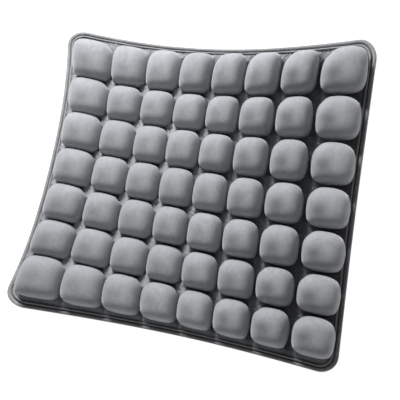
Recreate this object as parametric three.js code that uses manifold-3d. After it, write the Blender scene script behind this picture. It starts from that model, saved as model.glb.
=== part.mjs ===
// Air-cell seat cushion: 8 x 7 puffed air cells on a base film, under one fitted fabric cover,
// with a rounded hem all round, a raised welt inside it and a capped air valve in the underside.
//
// Millimetres. +X is the cushion's right, +Y its back, +Z up. The origin is the middle of the flat
// patch that the cushion rests on. Every sheet is laid out flat first ("nominal" x, y, z) and is
// then bent to the settled shape of the inflated cushion: sides drawn in, edges curling up.
import * as THREE from 'three';
import { mergeVertices } from 'three/addons/utils/BufferGeometryUtils.js';
import Module from 'manifold-3d';

const wasm = await Module();
wasm.setup();

// ---------------------------------------------------------------- driving dimensions
const COLUMNS = 8;
const ROWS = 7;
const PITCH = 53; // cell to cell
const MARGIN = { left: 12, right: 8, back: 16, front: 14 }; // outermost cell square to hem
const CORNER_RADIUS = 25;

// Settled shape. Positions are shares of these two half sizes, from -1 to 1.
const HALF_X = 223;
const HALF_Y = 196.5;
const FLAT_SHARE = 0.4; // this much of each half side lies flat
const EDGE_LIFT = { left: 12, right: 0, back: 9, front: 6 };
const CORNER_LIFT = { frontLeft: 8, frontRight: 3 };
const CORNER_REACH = { left: 0.13, right: -0.042, back: 0.112, front: 0.037 };
const SPREAD = { x: 0.088, y: -0.019 }; // outer cells wider than the middle ones
const SKEW = { x: -0.015, y: 0.026 };
const BOW = { xAlongY: -0.026, xMiddle: -0.053, yMiddle: 0.003, yAlongX: -0.049 };

// Layers, as nominal heights over the resting face.
const GAP = 0.3; // between touching pieces
const BOTTOM_COVER = { low: 0, high: 1 };
const BASE_FILM = { low: 1.3, high: 2.1 };
const SHEET_INSET = 5; // hem's outer edge to the sheets' edges

// A cell's skin: half widths and heights of its foot, shoulder and top plate.
const COVER_OUTSIDE = { flange: 5.1, foot: 23.4, shoulder: 24, shoulderZ: 29, top: 15, topZ: 39 };
const COVER_INSIDE = { flange: 4.1, foot: 22.4, shoulder: 23, shoulderZ: 28.4, top: 14.6, topZ: 38 };
const FILM_OUTSIDE = { flange: 3.8, foot: 22.1, shoulder: 22.7, shoulderZ: 28.2, top: 14.4, topZ: 37.7 };
const FILM_INSIDE = { flange: 3, foot: 21.3, shoulder: 21.9, shoulderZ: 27.7, top: 14, topZ: 36.9 };
const CORNER_CUT = 0.62; // where a cell's corner is cut, as a share of its half width

// Hem and welt.
const HEM_WIDTH = 4.3;
const HEM_LOW = 0.3;
const HEM_HIGH = 5.8;
const WELT_INSET = 7; // hem's outer edge to the welt's middle
const WELT_WIDTH = 2;
const WELT_LOW = 6;
const WELT_HIGH = 7.4;
const RIM_STEP = 42; // longest straight stretch of the rim
const RIM_ARC_STEPS = 5;

// Air valve, upright under one cell near the right side, as radii and heights over the resting
// face. A cup opens downwards and holds the flip cap, a tube rises from it into the cell, and at
// the tube's top a sprung disc seals the seat from inside. Pushing the button lets air out.
const VALVE_COLUMN = 7;
const VALVE_ROW = 2;
const ROUND_STEPS = 20;
const VALVE_HOLE = { cover: 14.6, film: 14.2 };
const FLANGE = { inner: 14.1, outer: 18, low: 2.4, high: 3.2 };
const CUP = { inner: 12.5, outer: 13.8, low: 0.4, floorLow: 6.4, floorHigh: 7.4 };
const TUBE = { inner: 7.6, outer: 9, seatLow: 20, seatHigh: 21.5, seatHole: 3.2 };
const CAP = { radius: 8.8, low: 4.2, high: 6.1 };
const CAP_EAR = { end: -10.6, half: 2.2, high: 5.4 }; // the hinge line is at x -10, on the cap's low face
const CAP_LUG = { outerEnd: -12, innerEnd: -10.9, low: 4.4, high: 6.1 };
const SEAL = { inner: 3.4, outer: 6, low: 21.8, high: 22.8 };
const STEM = { radius: 2, low: 13.1 };
const DISC = { radius: 6.4, low: 23, high: 24.5 };
const BUTTON = { radius: 4.6, low: 12, high: 14, socket: 2.3, socketLow: 12.8 };
const SPRING = { radius: 3.3, wire: 0.32, turns: 4, low: 14.3, high: 19.7, stepsPerTurn: 10, sides: 5 };

// ---------------------------------------------------------------- materials
const fabric = (colour) => new THREE.MeshStandardMaterial({ color: colour, roughness: 0.95, metalness: 0 });
const plastic = (colour) => new THREE.MeshStandardMaterial({ color: colour, roughness: 0.45, metalness: 0 });
const MATERIALS = {
  velour: fabric(0x8e9095),
  hem: fabric(0x7b7d82),
  nonSlip: fabric(0x3a3b3e),
  film: plastic(0x9fa6ab),
  valvePlastic: plastic(0x2e3033),
  rubber: plastic(0x1c1d1f),
  steel: new THREE.MeshStandardMaterial({ color: 0xb9bcc0, roughness: 0.3, metalness: 1 }),
};

// ---------------------------------------------------------------- settled shape
function curl(share) {
  const past = Math.max(share - FLAT_SHARE, 0) / (1 - FLAT_SHARE);
  return past * past;
}

function settledPoint(x, y) {
  const u = x / HALF_X;
  const v = y / HALF_Y;
  const reachX = u < 0 ? CORNER_REACH.left : CORNER_REACH.right;
  const reachY = v < 0 ? CORNER_REACH.front : CORNER_REACH.back;
  const bowX = BOW.xAlongY * (1 - u * u) * v + BOW.xMiddle * (1 - v * v);
  const bowY = BOW.yMiddle * (1 - u * u) + BOW.yAlongX * (1 - v * v) * u;
  const spreadX = SPREAD.x * (u ** 3 - u);
  const spreadY = SPREAD.y * (v ** 3 - v);
  const lift =
    EDGE_LIFT.left * curl(-u) +
    EDGE_LIFT.right * curl(u) +
    EDGE_LIFT.back * curl(v) +
    EDGE_LIFT.front * curl(-v) +
    CORNER_LIFT.frontLeft * curl(-u) * curl(-v) +
    CORNER_LIFT.frontRight * curl(u) * curl(-v);
  return new THREE.Vector3(
    x * (1 + reachX * v * v * Math.abs(u)) + HALF_X * (spreadX + SKEW.x * u * v + bowX),
    y * (1 + reachY * u * u * Math.abs(v)) + HALF_Y * (spreadY + SKEW.y * u * v + bowY),
    lift,
  );
}

// The flat layout's origin lands a little off centre, so the whole shape is brought back to it.
const ORIGIN = settledPoint(0, 0);

function settle(x, y, z) {
  const step = 0.5;
  const alongX = settledPoint(x + step, y).sub(settledPoint(x - step, y));
  const alongY = settledPoint(x, y + step).sub(settledPoint(x, y - step));
  const normal = alongX.cross(alongY).normalize();
  return settledPoint(x, y).sub(ORIGIN).addScaledVector(normal, z);
}

// ---------------------------------------------------------------- solids
class Skin {
  positions = [];

  triangle(a, b, c) {
    for (const point of [a, b, c]) this.positions.push(...point.toArray());
  }

  quad(a, b, c, d) {
    this.triangle(a, b, c);
    this.triangle(a, c, d);
  }

  // A band between two rings of as many points, running counter-clockwise seen from outside.
  band(lower, upper) {
    lower.forEach((point, i) => {
      const next = (i + 1) % lower.length;
      this.quad(point, lower[next], upper[next], upper[i]);
    });
  }

  polygon(points) {
    for (let i = 1; i + 1 < points.length; i += 1) this.triangle(points[0], points[i], points[i + 1]);
  }

  flipped() {
    const { positions } = this;
    for (let i = 0; i < positions.length; i += 9) {
      const second = positions.slice(i + 3, i + 6);
      positions.splice(i + 3, 6, ...positions.slice(i + 6, i + 9), ...second);
    }
    return this;
  }

  join(other) {
    for (const value of other.positions) this.positions.push(value);
    return this;
  }

  geometry() {
    const geometry = new THREE.BufferGeometry();
    geometry.setAttribute('position', new THREE.Float32BufferAttribute(this.positions, 3));
    return mergeVertices(geometry, 1e-3);
  }
}

function toSolid(geometry) {
  const bare = geometry.clone();
  bare.deleteAttribute('normal');
  bare.deleteAttribute('uv');
  const merged = mergeVertices(bare, 1e-4);
  return new wasm.Manifold(
    new wasm.Mesh({
      numProp: 3,
      vertProperties: new Float32Array(merged.attributes.position.array),
      triVerts: new Uint32Array(merged.index.array),
    }),
  );
}

function toGeometry(solid) {
  const mesh = solid.getMesh();
  const geometry = new THREE.BufferGeometry();
  geometry.setAttribute('position', new THREE.Float32BufferAttribute(mesh.vertProperties, mesh.numProp));
  geometry.setIndex(new THREE.BufferAttribute(mesh.triVerts, 1));
  return geometry;
}

function cut(geometry, ...tools) {
  return toGeometry(tools.reduce((solid, tool) => solid.subtract(toSolid(tool)), toSolid(geometry)));
}

function join(geometry, ...others) {
  return toGeometry(others.reduce((solid, other) => solid.add(toSolid(other)), toSolid(geometry)));
}

function turned(profile) {
  const points = [...profile, profile[0]].map(([radius, z]) => new THREE.Vector2(radius, z));
  return new THREE.LatheGeometry(points, ROUND_STEPS).rotateX(Math.PI / 2);
}

function block(x0, x1, halfWidth, z0, z1) {
  const box = new THREE.BoxGeometry(x1 - x0, 2 * halfWidth, z1 - z0);
  return box.translate((x0 + x1) / 2, 0, (z0 + z1) / 2);
}

// ---------------------------------------------------------------- sheets with cells
const GRID = { left: (-COLUMNS * PITCH) / 2, back: (ROWS * PITCH) / 2 };
const RIM = {
  left: GRID.left - MARGIN.left,
  right: -GRID.left + MARGIN.right,
  back: GRID.back + MARGIN.back,
  front: -GRID.back - MARGIN.front,
};

// A corner of the cell squares, counted from the back left, on a sheet over the given block of
// squares. Where sheets are neighbours each stops short of their common line. The outermost
// corners reach the hem, and the cushion's four sit on the middle of its rounded corners.
function squareCorner(i, j, { columns, rows, seam }) {
  const inset = SHEET_INSET;
  const onLeft = i === 0;
  const onRight = i === COLUMNS;
  const onBack = j === 0;
  const onFront = j === ROWS;
  let x = GRID.left + i * PITCH;
  let y = GRID.back - j * PITCH;
  if (i === columns[0]) x += seam;
  if (i === columns[1]) x -= seam;
  if (j === rows[0]) y -= seam;
  if (j === rows[1]) y += seam;
  if (onLeft) x = RIM.left + inset;
  if (onRight) x = RIM.right - inset;
  if (onBack) y = RIM.back - inset;
  if (onFront) y = RIM.front + inset;
  if ((onLeft || onRight) && (onBack || onFront)) {
    const pull = (CORNER_RADIUS - inset) * (1 - Math.SQRT1_2);
    x += onLeft ? pull : -pull;
    y += onFront ? pull : -pull;
  }
  return [x, y];
}

const WHOLE = { columns: [0, COLUMNS], rows: [0, ROWS], seam: 0 };

function cellCentre(column, row) {
  return [GRID.left + (column + 0.5) * PITCH, GRID.back - (row + 0.5) * PITCH];
}

// A square ring with cut corners, counter-clockwise from the front right.
function cellRing(column, row, half, z) {
  const [x, y] = cellCentre(column, row);
  const short = half * CORNER_CUT;
  const offsets = [
    [short, -half], [half, -short], [half, short], [short, half],
    [-short, half], [-half, short], [-half, -short], [-short, -half],
  ];
  return offsets.map(([dx, dy]) => settle(x + dx, y + dy, z));
}

// The four corners of a cell's square, counter-clockwise from the front right.
function squareCorners(column, row, block, z) {
  return [
    squareCorner(column + 1, row + 1, block),
    squareCorner(column + 1, row, block),
    squareCorner(column, row, block),
    squareCorner(column, row + 1, block),
  ].map(([x, y]) => settle(x, y, z));
}

// One cell's square of a sheet, seen from above: flange, wall, shoulder and top plate.
function cellSkin(column, row, block, shape) {
  const skin = new Skin();
  const corners = squareCorners(column, row, block, shape.flange);
  const foot = cellRing(column, row, shape.foot, shape.flange);
  const shoulder = cellRing(column, row, shape.shoulder, shape.shoulderZ);
  const top = cellRing(column, row, shape.top, shape.topZ);
  corners.forEach((corner, i) => {
    const first = 2 * i;
    const nextCorner = corners[(i + 1) % 4];
    skin.triangle(corner, foot[first + 1], foot[first]);
    skin.quad(corner, nextCorner, foot[(first + 2) % 8], foot[first + 1]);
  });
  skin.band(foot, shoulder);
  skin.band(shoulder, top);
  skin.polygon(top);
  return skin;
}

// One square of a plain sheet, seen from above.
function plainSkin(column, row, block, z) {
  const skin = new Skin();
  const centre = settle(...cellCentre(column, row), z);
  const corners = squareCorners(column, row, block, z);
  corners.forEach((corner, i) => skin.triangle(centre, corner, corners[(i + 1) % 4]));
  return skin;
}

// Closes an upper and a lower skin over a block of cell squares into one solid.
function sheet(block, upperSkin, lowerSkin, upperZ, lowerZ) {
  const skin = new Skin();
  const [c0, c1] = block.columns;
  const [r0, r1] = block.rows;
  for (let row = r0; row < r1; row += 1) {
    for (let column = c0; column < c1; column += 1) {
      skin.join(upperSkin(column, row));
      skin.join(lowerSkin(column, row).flipped());
    }
  }
  const edge = [];
  for (let i = c0; i < c1; i += 1) edge.push([i, r1]);
  for (let j = r1; j > r0; j -= 1) edge.push([c1, j]);
  for (let i = c1; i > c0; i -= 1) edge.push([i, r0]);
  for (let j = r0; j < r1; j += 1) edge.push([c0, j]);
  const flat = edge.map(([i, j]) => squareCorner(i, j, block));
  const ring = (z) => flat.map(([x, y]) => settle(x, y, z));
  skin.band(ring(lowerZ), ring(upperZ));
  return skin.geometry();
}

function cellSheet(block, outside, inside) {
  const upper = (column, row) => cellSkin(column, row, block, outside);
  const lower = (column, row) => cellSkin(column, row, block, inside);
  return sheet(block, upper, lower, outside.flange, inside.flange);
}

function plainSheet({ low, high }) {
  const upper = (column, row) => plainSkin(column, row, WHOLE, high);
  const lower = (column, row) => plainSkin(column, row, WHOLE, low);
  return sheet(WHOLE, upper, lower, high, low);
}

// ---------------------------------------------------------------- rim
// The rim's outline at an inset, counter-clockwise from the front right corner, as flat points.
function rimOutline(inset) {
  const radius = CORNER_RADIUS - inset;
  const right = RIM.right - CORNER_RADIUS;
  const left = RIM.left + CORNER_RADIUS;
  const back = RIM.back - CORNER_RADIUS;
  const front = RIM.front + CORNER_RADIUS;
  const centres = [[right, front], [right, back], [left, back], [left, front]];
  const points = [];
  centres.forEach(([x, y], corner) => {
    const start = (corner - 1) * (Math.PI / 2);
    for (let i = 0; i <= RIM_ARC_STEPS; i += 1) {
      const angle = start + (i / RIM_ARC_STEPS) * (Math.PI / 2);
      points.push([x + radius * Math.cos(angle), y + radius * Math.sin(angle)]);
    }
    const [fromX, fromY] = points.at(-1);
    const [nextX, nextY] = centres[(corner + 1) % 4];
    const travel = [nextX - x, nextY - y];
    const steps = Math.ceil(Math.hypot(...travel) / RIM_STEP);
    for (let i = 1; i < steps; i += 1) {
      points.push([fromX + (travel[0] * i) / steps, fromY + (travel[1] * i) / steps]);
    }
  });
  return points;
}

// Sweeps a section round the rim. A section point is [inset, z], clockwise seen along the sweep.
function rimSolid(section) {
  const rings = section.map(([inset, z]) => rimOutline(inset).map(([x, y]) => settle(x, y, z)));
  const skin = new Skin();
  rings.forEach((ring, i) => skin.band(ring, rings[(i + 1) % rings.length]));
  return skin.geometry();
}

function hemSection() {
  const middle = (HEM_LOW + HEM_HIGH) / 2;
  const shoulder = HEM_WIDTH / 4;
  return [
    [shoulder, HEM_LOW],
    [0, middle],
    [shoulder, HEM_HIGH],
    [HEM_WIDTH - shoulder, HEM_HIGH],
    [HEM_WIDTH, middle],
    [HEM_WIDTH - shoulder, HEM_LOW],
  ];
}

function weltSection() {
  const outer = WELT_INSET - WELT_WIDTH / 2;
  const inner = WELT_INSET + WELT_WIDTH / 2;
  return [[outer, WELT_LOW], [WELT_INSET - WELT_WIDTH / 4, WELT_HIGH],
    [WELT_INSET + WELT_WIDTH / 4, WELT_HIGH], [inner, WELT_LOW]];
}

// ---------------------------------------------------------------- valve, about its own axis
function ring({ inner, outer, low, high }) {
  return turned([[inner, low], [outer, low], [outer, high], [inner, high]]);
}

function valveBody() {
  return turned([
    [CUP.inner, CUP.low],
    [CUP.outer, CUP.low],
    [CUP.outer, CUP.floorHigh],
    [TUBE.outer, CUP.floorHigh],
    [TUBE.outer, TUBE.seatHigh],
    [TUBE.seatHole, TUBE.seatHigh],
    [TUBE.seatHole, TUBE.seatLow],
    [TUBE.inner, TUBE.seatLow],
    [TUBE.inner, CUP.floorLow],
    [CUP.inner, CUP.floorLow],
  ]);
}

function valvePlunger() {
  return turned([
    [0, STEM.low],
    [STEM.radius, STEM.low],
    [STEM.radius, DISC.low],
    [DISC.radius, DISC.low],
    [DISC.radius, DISC.high],
    [0, DISC.high],
  ]);
}

function plungerButton() {
  const { radius, low, high, socket, socketLow } = BUTTON;
  return turned([[0, low], [radius, low], [radius, high], [socket, high], [socket, socketLow], [0, socketLow]]);
}

class SpringLine extends THREE.Curve {
  getPoint(t) {
    const angle = t * SPRING.turns * 2 * Math.PI;
    const z = SPRING.low + SPRING.wire + t * (SPRING.high - SPRING.low - 2 * SPRING.wire);
    return new THREE.Vector3(SPRING.radius * Math.cos(angle), SPRING.radius * Math.sin(angle), z);
  }
}

function valveSpring() {
  const section = new THREE.Shape();
  for (let i = 0; i < SPRING.sides; i += 1) {
    const angle = (i / SPRING.sides) * 2 * Math.PI;
    const point = [SPRING.wire * Math.cos(angle), SPRING.wire * Math.sin(angle)];
    if (i === 0) section.moveTo(...point);
    else section.lineTo(...point);
  }
  section.closePath();
  const steps = SPRING.turns * SPRING.stepsPerTurn;
  return new THREE.ExtrudeGeometry(section, { steps, extrudePath: new SpringLine() });
}

function valveCap() {
  const { radius, low, high } = CAP;
  const overlap = 1;
  return join(
    turned([[0, low], [radius, low], [radius, high], [0, high]]),
    block(CAP_EAR.end, overlap - radius, CAP_EAR.half, low, CAP_EAR.high),
  );
}

function capLug() {
  return block(CAP_LUG.outerEnd, CAP_LUG.innerEnd, CAP_EAR.half, CAP_LUG.low, CAP_LUG.high);
}

function roundHole(radius, centre) {
  const depth = 20;
  const tool = new THREE.CylinderGeometry(radius, radius, depth, ROUND_STEPS);
  return tool.rotateX(Math.PI / 2).translate(centre.x, centre.y, 0);
}

// ---------------------------------------------------------------- assembly
const cushion = new THREE.Group();

function add(parent, name, geometry, material) {
  const mesh = new THREE.Mesh(geometry, material.clone());
  mesh.name = name;
  parent.add(mesh);
}

const valveAxis = settle(...cellCentre(VALVE_COLUMN, VALVE_ROW), 0);

add(cushion, 'top_cover', cellSheet(WHOLE, COVER_OUTSIDE, COVER_INSIDE), MATERIALS.velour);

for (let row = 0; row < ROWS; row += 1) {
  const columns = row === VALVE_ROW ? [0, VALVE_COLUMN] : [0, COLUMNS];
  const block = { columns, rows: [row, row + 1], seam: GAP / 2 };
  add(cushion, `air_cell_row_${row + 1}`, cellSheet(block, FILM_OUTSIDE, FILM_INSIDE), MATERIALS.film);
}
const valveCell = { columns: [VALVE_COLUMN, COLUMNS], rows: [VALVE_ROW, VALVE_ROW + 1], seam: GAP / 2 };
add(cushion, 'valve_air_cell', cellSheet(valveCell, FILM_OUTSIDE, FILM_INSIDE), MATERIALS.film);

const baseFilm = cut(plainSheet(BASE_FILM), roundHole(VALVE_HOLE.film, valveAxis));
add(cushion, 'base_film', baseFilm, MATERIALS.film);
const bottomCover = cut(plainSheet(BOTTOM_COVER), roundHole(VALVE_HOLE.cover, valveAxis));
add(cushion, 'bottom_cover', bottomCover, MATERIALS.nonSlip);
add(cushion, 'edge_hem', rimSolid(hemSection()), MATERIALS.hem);
add(cushion, 'edge_welt', rimSolid(weltSection()), MATERIALS.hem);

const valve = new THREE.Group();
valve.position.copy(valveAxis);
cushion.add(valve);
add(valve, 'valve_flange', ring(FLANGE), MATERIALS.film);
add(valve, 'valve_body', valveBody(), MATERIALS.valvePlastic);
add(valve, 'valve_seal', ring(SEAL), MATERIALS.rubber);
add(valve, 'valve_plunger', valvePlunger(), MATERIALS.valvePlastic);
add(valve, 'plunger_button', plungerButton(), MATERIALS.valvePlastic);
add(valve, 'valve_spring', valveSpring(), MATERIALS.steel);
add(valve, 'valve_cap', valveCap(), MATERIALS.rubber);
add(valve, 'cap_hinge_lug', capLug(), MATERIALS.valvePlastic);

export default cushion;
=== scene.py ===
# Looks of the air-cell seat cushion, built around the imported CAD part.
#
# Lengths are millimetres until they reach a mesh, which is in metres. Every sheet is laid out flat
# ("nominal" x, y and height) and is then bent by settle(), as the CAD's sheets are. The puffed
# cells are shifted from the CAD's regular grid by cell_drift(), which the CAD has no match for.
import math

import bpy
import numpy as np
from mathutils import Euler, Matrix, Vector


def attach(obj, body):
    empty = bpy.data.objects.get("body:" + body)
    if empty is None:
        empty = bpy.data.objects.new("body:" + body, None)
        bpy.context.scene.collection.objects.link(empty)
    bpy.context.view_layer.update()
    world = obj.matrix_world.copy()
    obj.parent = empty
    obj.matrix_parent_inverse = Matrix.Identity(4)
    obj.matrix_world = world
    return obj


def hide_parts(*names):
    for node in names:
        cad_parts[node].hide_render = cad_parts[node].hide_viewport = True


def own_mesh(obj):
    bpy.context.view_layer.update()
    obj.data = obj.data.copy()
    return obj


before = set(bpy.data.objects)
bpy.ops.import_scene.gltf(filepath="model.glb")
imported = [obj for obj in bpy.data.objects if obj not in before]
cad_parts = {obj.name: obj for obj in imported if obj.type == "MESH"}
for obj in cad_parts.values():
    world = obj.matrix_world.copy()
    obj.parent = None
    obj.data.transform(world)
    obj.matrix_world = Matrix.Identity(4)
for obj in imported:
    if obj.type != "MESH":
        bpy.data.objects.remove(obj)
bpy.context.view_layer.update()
MM = 0.001
rng = np.random.default_rng(7)

# ---------------------------------------------------------------- dimensions shared with the CAD
COLUMNS, ROWS, PITCH = 8, 7, 53.0
MARGIN = {"left": 12, "right": 8, "back": 16, "front": 14}
CORNER_RADIUS = 25
HALF_X, HALF_Y, FLAT_SHARE = 223, 196.5, 0.4
EDGE_LIFT = {"left": 12, "right": 0, "back": 9, "front": 6}
CORNER_LIFT = {"front_left": 8, "front_right": 3}
CORNER_REACH = {"left": 0.13, "right": -0.042, "back": 0.112, "front": 0.037}
SPREAD_X, SPREAD_Y = 0.088, -0.019
SKEW_X, SKEW_Y = -0.015, 0.026
BOW_X_ALONG_Y, BOW_X_MIDDLE, BOW_Y_MIDDLE, BOW_Y_ALONG_X = -0.026, -0.053, 0.003, -0.049
HEM_WIDTH, HEM_LOW, HEM_HIGH = 4.3, 0.3, 5.8
WELT_INSET, WELT_WIDTH, WELT_LOW, WELT_HIGH = 7, 2, 2.6, 7.4
VALVE_COLUMN, VALVE_ROW, VALVE_HOLE = 7, 2, 14.6
SPRING_RADIUS, SPRING_WIRE, SPRING_TURNS, SPRING_LOW, SPRING_HIGH = 3.3, 0.32, 4, 14.3, 19.7

GRID_LEFT, GRID_BACK = -COLUMNS * PITCH / 2, ROWS * PITCH / 2
RIM_LEFT, RIM_RIGHT = GRID_LEFT - MARGIN["left"], -GRID_LEFT + MARGIN["right"]
RIM_BACK, RIM_FRONT = GRID_BACK + MARGIN["back"], -GRID_BACK - MARGIN["front"]

# ---------------------------------------------------------------- dimensions of the looks
COVER_STEPS, FILM_STEPS, BASE_STEPS = 40, 14, 24  # grid steps across one cell's square
FILM_INSET = 1.4  # the velour's face to the film under it
BASE_HEIGHT = 0.45
DOT_RADIUS, DOT_HEIGHT, DOT_PITCH, DOT_SIDES = 1.6, 0.4, 9.0, 10
DOT_MARGIN, DOT_CORNER_MARGIN, DOT_VALVE_MARGIN = 12, 9, 6  # clear of the rim, its corners, the valve
COVER_THICKNESS, FILM_THICKNESS, BASE_THICKNESS = 0.8, 0.35, 0.7
SIM_STEPS, SIM_FRAMES, SIM_PRESSURE, SIM_SLACK, SIM_CAP = 20, 20, 4.0, 0.02, 3.0
TOP_HEIGHT = 40.0
BULGE_HEIGHT = 20.0
FLOOR_HEIGHT = 5.2
FOOT_HEIGHT = 7.0
FOOT_SHRINK = 0.075  # share by which a cell's foot lies inside its bulge
FOOT_SHARE = 0.84  # grid share of a cell's half square that its puffed skin takes
# Exponents of the crown's section: across it towards the back, and what front and right add.
PUFF_BACK, PUFF_FRONT, PUFF_RIGHT, PUFF_UP = 3.0, -0.35, 0.3, 1.9
PLAN_POWER = 5.0  # exponent of a cell's outline seen from above
SQUARE_FRONT = 0.9  # what the squarer front corners add to it
ROUND_RIGHT = 1.1  # what the rounder cells of the right columns take off it
CROWN_POWER = 2.4  # the same exponent in the middle of the crown
CELL_FILL, FILL_FALL = 0.935, 0.05  # share of the pitch that a cell fills, and its fall to the right
DIMPLE_DEPTH = 1.0
WEB_HEIGHT = 21.0  # height of the cloth bridge where four cells meet
PLEAT_HEIGHT = 1.4
HEM_DIP = 1.6  # how far the sheet dips beside the hem
FRONT_ROW_REACH = 2.5
BACK_ROW_REACH = 6.5  # how far the back row's cells swell towards the rim
RIGHT_COLUMN_REACH = 3.5
RIGHT_SHIFT = 1.5
# Where the cells sit between the rim's sides, in the middle and what its sides and ends add.
PUSH_RIGHT = {"middle": 4.7, "lean": 0.0, "diagonal": -6.9, "sides": -2.9, "ends": -7.3}
PUSH_BACK = {"middle": -5.2, "lean": 1.6, "diagonal": 4.9, "sides": 5.9, "ends": 4.5}
SHEET_TUCK = 2.6  # hem's outer edge to the velour's sewn-in edge
RIM_SPACING, RIPPLE_LENGTH, SLOW_RIPPLE_LENGTH = 2.0, 6.0, 17.3
FLOOR_SIZE, FLOOR_STEPS, FLOOR_Z = 6.0, 12, -0.0006  # metres
CAMERA_PLACE, CAMERA_TURN, CAMERA_LENS = (0.3234, -0.1786, 0.8914), (13.249, 17.322, 10.751), 63.1


# ---------------------------------------------------------------- settled shape
def curl(share):
    """How strongly an edge lifts, from 0 inside the flat share to 1 at the edge."""
    return (np.maximum(share - FLAT_SHARE, 0) / (1 - FLAT_SHARE)) ** 2


def settled_point(x, y):
    """Where a nominal point of the underside lies on the curled, slightly skewed cushion."""
    u, v = x / HALF_X, y / HALF_Y
    reach_x = np.where(u < 0, CORNER_REACH["left"], CORNER_REACH["right"])
    reach_y = np.where(v < 0, CORNER_REACH["front"], CORNER_REACH["back"])
    bow_x = BOW_X_ALONG_Y * (1 - u * u) * v + BOW_X_MIDDLE * (1 - v * v)
    bow_y = BOW_Y_MIDDLE * (1 - u * u) + BOW_Y_ALONG_X * (1 - v * v) * u
    lift = (
        EDGE_LIFT["left"] * curl(-u)
        + EDGE_LIFT["right"] * curl(u)
        + EDGE_LIFT["back"] * curl(v)
        + EDGE_LIFT["front"] * curl(-v)
        + CORNER_LIFT["front_left"] * curl(-u) * curl(-v)
        + CORNER_LIFT["front_right"] * curl(u) * curl(-v)
    )
    widen_x = 1 + reach_x * v * v * abs(u)
    widen_y = 1 + reach_y * u * u * abs(v)
    shift_x = SPREAD_X * (u**3 - u) + SKEW_X * u * v + bow_x
    shift_y = SPREAD_Y * (v**3 - v) + SKEW_Y * u * v + bow_y
    return np.stack([x * widen_x + HALF_X * shift_x, y * widen_y + HALF_Y * shift_y, lift], -1)


ORIGIN = settled_point(np.array(0.0), np.array(0.0))


def settle(x, y, z):
    """Nominal millimetres to settled millimetres, z being measured along the sheet's normal."""
    step = 0.5
    along_x = settled_point(x + step, y) - settled_point(x - step, y)
    along_y = settled_point(x, y + step) - settled_point(x, y - step)
    normal = np.cross(along_x, along_y)
    normal /= np.linalg.norm(normal, axis=-1, keepdims=True)
    return settled_point(x, y) - ORIGIN + normal * np.asarray(z)[..., None]


def smoothstep(value, low, high):
    t = np.clip((value - low) / (high - low), 0, 1)
    return t * t * (3 - 2 * t)


# ---------------------------------------------------------------- meshes
def new_piece(name, points_mm, faces, body):
    mesh = bpy.data.meshes.new(name)
    mesh.from_pydata((np.asarray(points_mm) * MM).tolist(), [], [list(map(int, f)) for f in faces])
    mesh.validate()
    mesh.update()
    piece = bpy.data.objects.new(name, mesh)
    bpy.context.scene.collection.objects.link(piece)
    mesh.shade_smooth()
    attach(piece, body)
    return piece


def apply_modifier(piece, kind, **settings):
    modifier = piece.modifiers.new(kind.lower(), kind)
    for key, value in settings.items():
        setattr(modifier, key, value)
    bpy.context.view_layer.objects.active = piece
    bpy.ops.object.modifier_apply(modifier=modifier.name)


# ---------------------------------------------------------------- sheets on the cell grid
def grid_lines(steps, first, last):
    """For one direction, the cell index and the place in it, -1 to 1, of every grid line."""
    index = np.arange(first * steps, last * steps + 1)
    cell = np.minimum(index // steps, last - 1)
    local = (index - cell * steps) / steps * 2 - 1
    return cell, local


def grid_faces(rows, columns, keep=None):
    index = np.arange(rows * columns).reshape(rows, columns)
    quads = np.stack([index[:-1, :-1], index[1:, :-1], index[1:, 1:], index[:-1, 1:]], -1).reshape(-1, 4)
    return quads if keep is None else quads[keep.reshape(-1)]


def square_edge(column, row, a, b, inset):
    """The nominal point on the outline of a cell's square, in the direction (a, b) from its centre.
    The outermost squares reach the hem and follow its rounded corners."""
    q = np.maximum(np.maximum(abs(a), abs(b)), 1e-9)
    a, b = a / q, b / q
    left, back = GRID_LEFT + column * PITCH, GRID_BACK - row * PITCH
    right, front = left + PITCH, back - PITCH
    left = np.where(column == 0, RIM_LEFT + inset, left)
    right = np.where(column == COLUMNS - 1, RIM_RIGHT - inset, right)
    back = np.where(row == 0, RIM_BACK - inset, back)
    front = np.where(row == ROWS - 1, RIM_FRONT + inset, front)
    x = left + (right - left) * (a + 1) / 2
    y = front + (back - front) * (b + 1) / 2
    centre_x = np.clip(x, RIM_LEFT + CORNER_RADIUS, RIM_RIGHT - CORNER_RADIUS)
    centre_y = np.clip(y, RIM_FRONT + CORNER_RADIUS, RIM_BACK - CORNER_RADIUS)
    off_x, off_y = x - centre_x, y - centre_y
    distance = np.hypot(off_x, off_y)
    in_corner = (off_x != 0) & (off_y != 0) & (distance > CORNER_RADIUS - inset)
    pull = np.where(in_corner, (CORNER_RADIUS - inset) / np.maximum(distance, 1e-9), 1)
    return centre_x + off_x * pull, centre_y + off_y * pull


def inside_rim(x, y):
    """Distance in from the rim's outline, up to its corner radius."""
    centre_x = np.clip(x, RIM_LEFT + CORNER_RADIUS, RIM_RIGHT - CORNER_RADIUS)
    centre_y = np.clip(y, RIM_FRONT + CORNER_RADIUS, RIM_BACK - CORNER_RADIUS)
    return CORNER_RADIUS - np.hypot(x - centre_x, y - centre_y)


def cell_centre(column, row):
    return GRID_LEFT + (column + 0.5) * PITCH, GRID_BACK - (row + 0.5) * PITCH


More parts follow.
